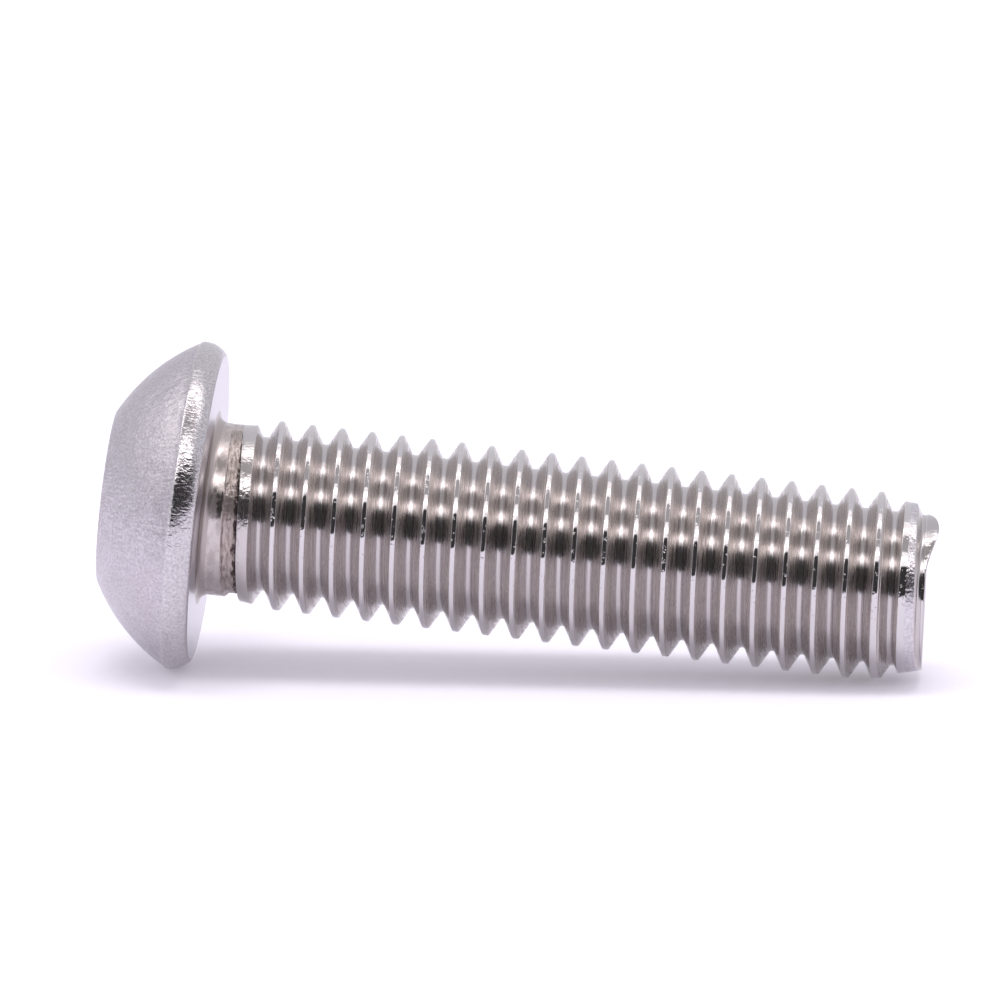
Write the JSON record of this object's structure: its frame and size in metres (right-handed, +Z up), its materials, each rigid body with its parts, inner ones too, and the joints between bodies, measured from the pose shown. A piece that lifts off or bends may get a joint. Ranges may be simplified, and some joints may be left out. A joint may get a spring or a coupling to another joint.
{
  "type": "button head screw",
  "caption": "Button head screw with a domed head, a hexagon socket, a flat bearing face, a short plain neck and a shank threaded to its tip.",
  "frame": {"origin": "middle of the underside of the box that the lying screw fills, on the surface it lies on", "axes": "+X level from the head towards the tip, +Z up; the screw lies on the rim of its head and on the last full crest of its thread, so its own axis leans 5.7 degrees down towards the tip"},
  "size_m": [0.0348, 0.0136, 0.0136],
  "materials": {
    "stainless_steel": "satin"
  },
  "bodies": {
    "root": {"button_head_screw": "stainless_steel"}
  },
  "joints": []
}
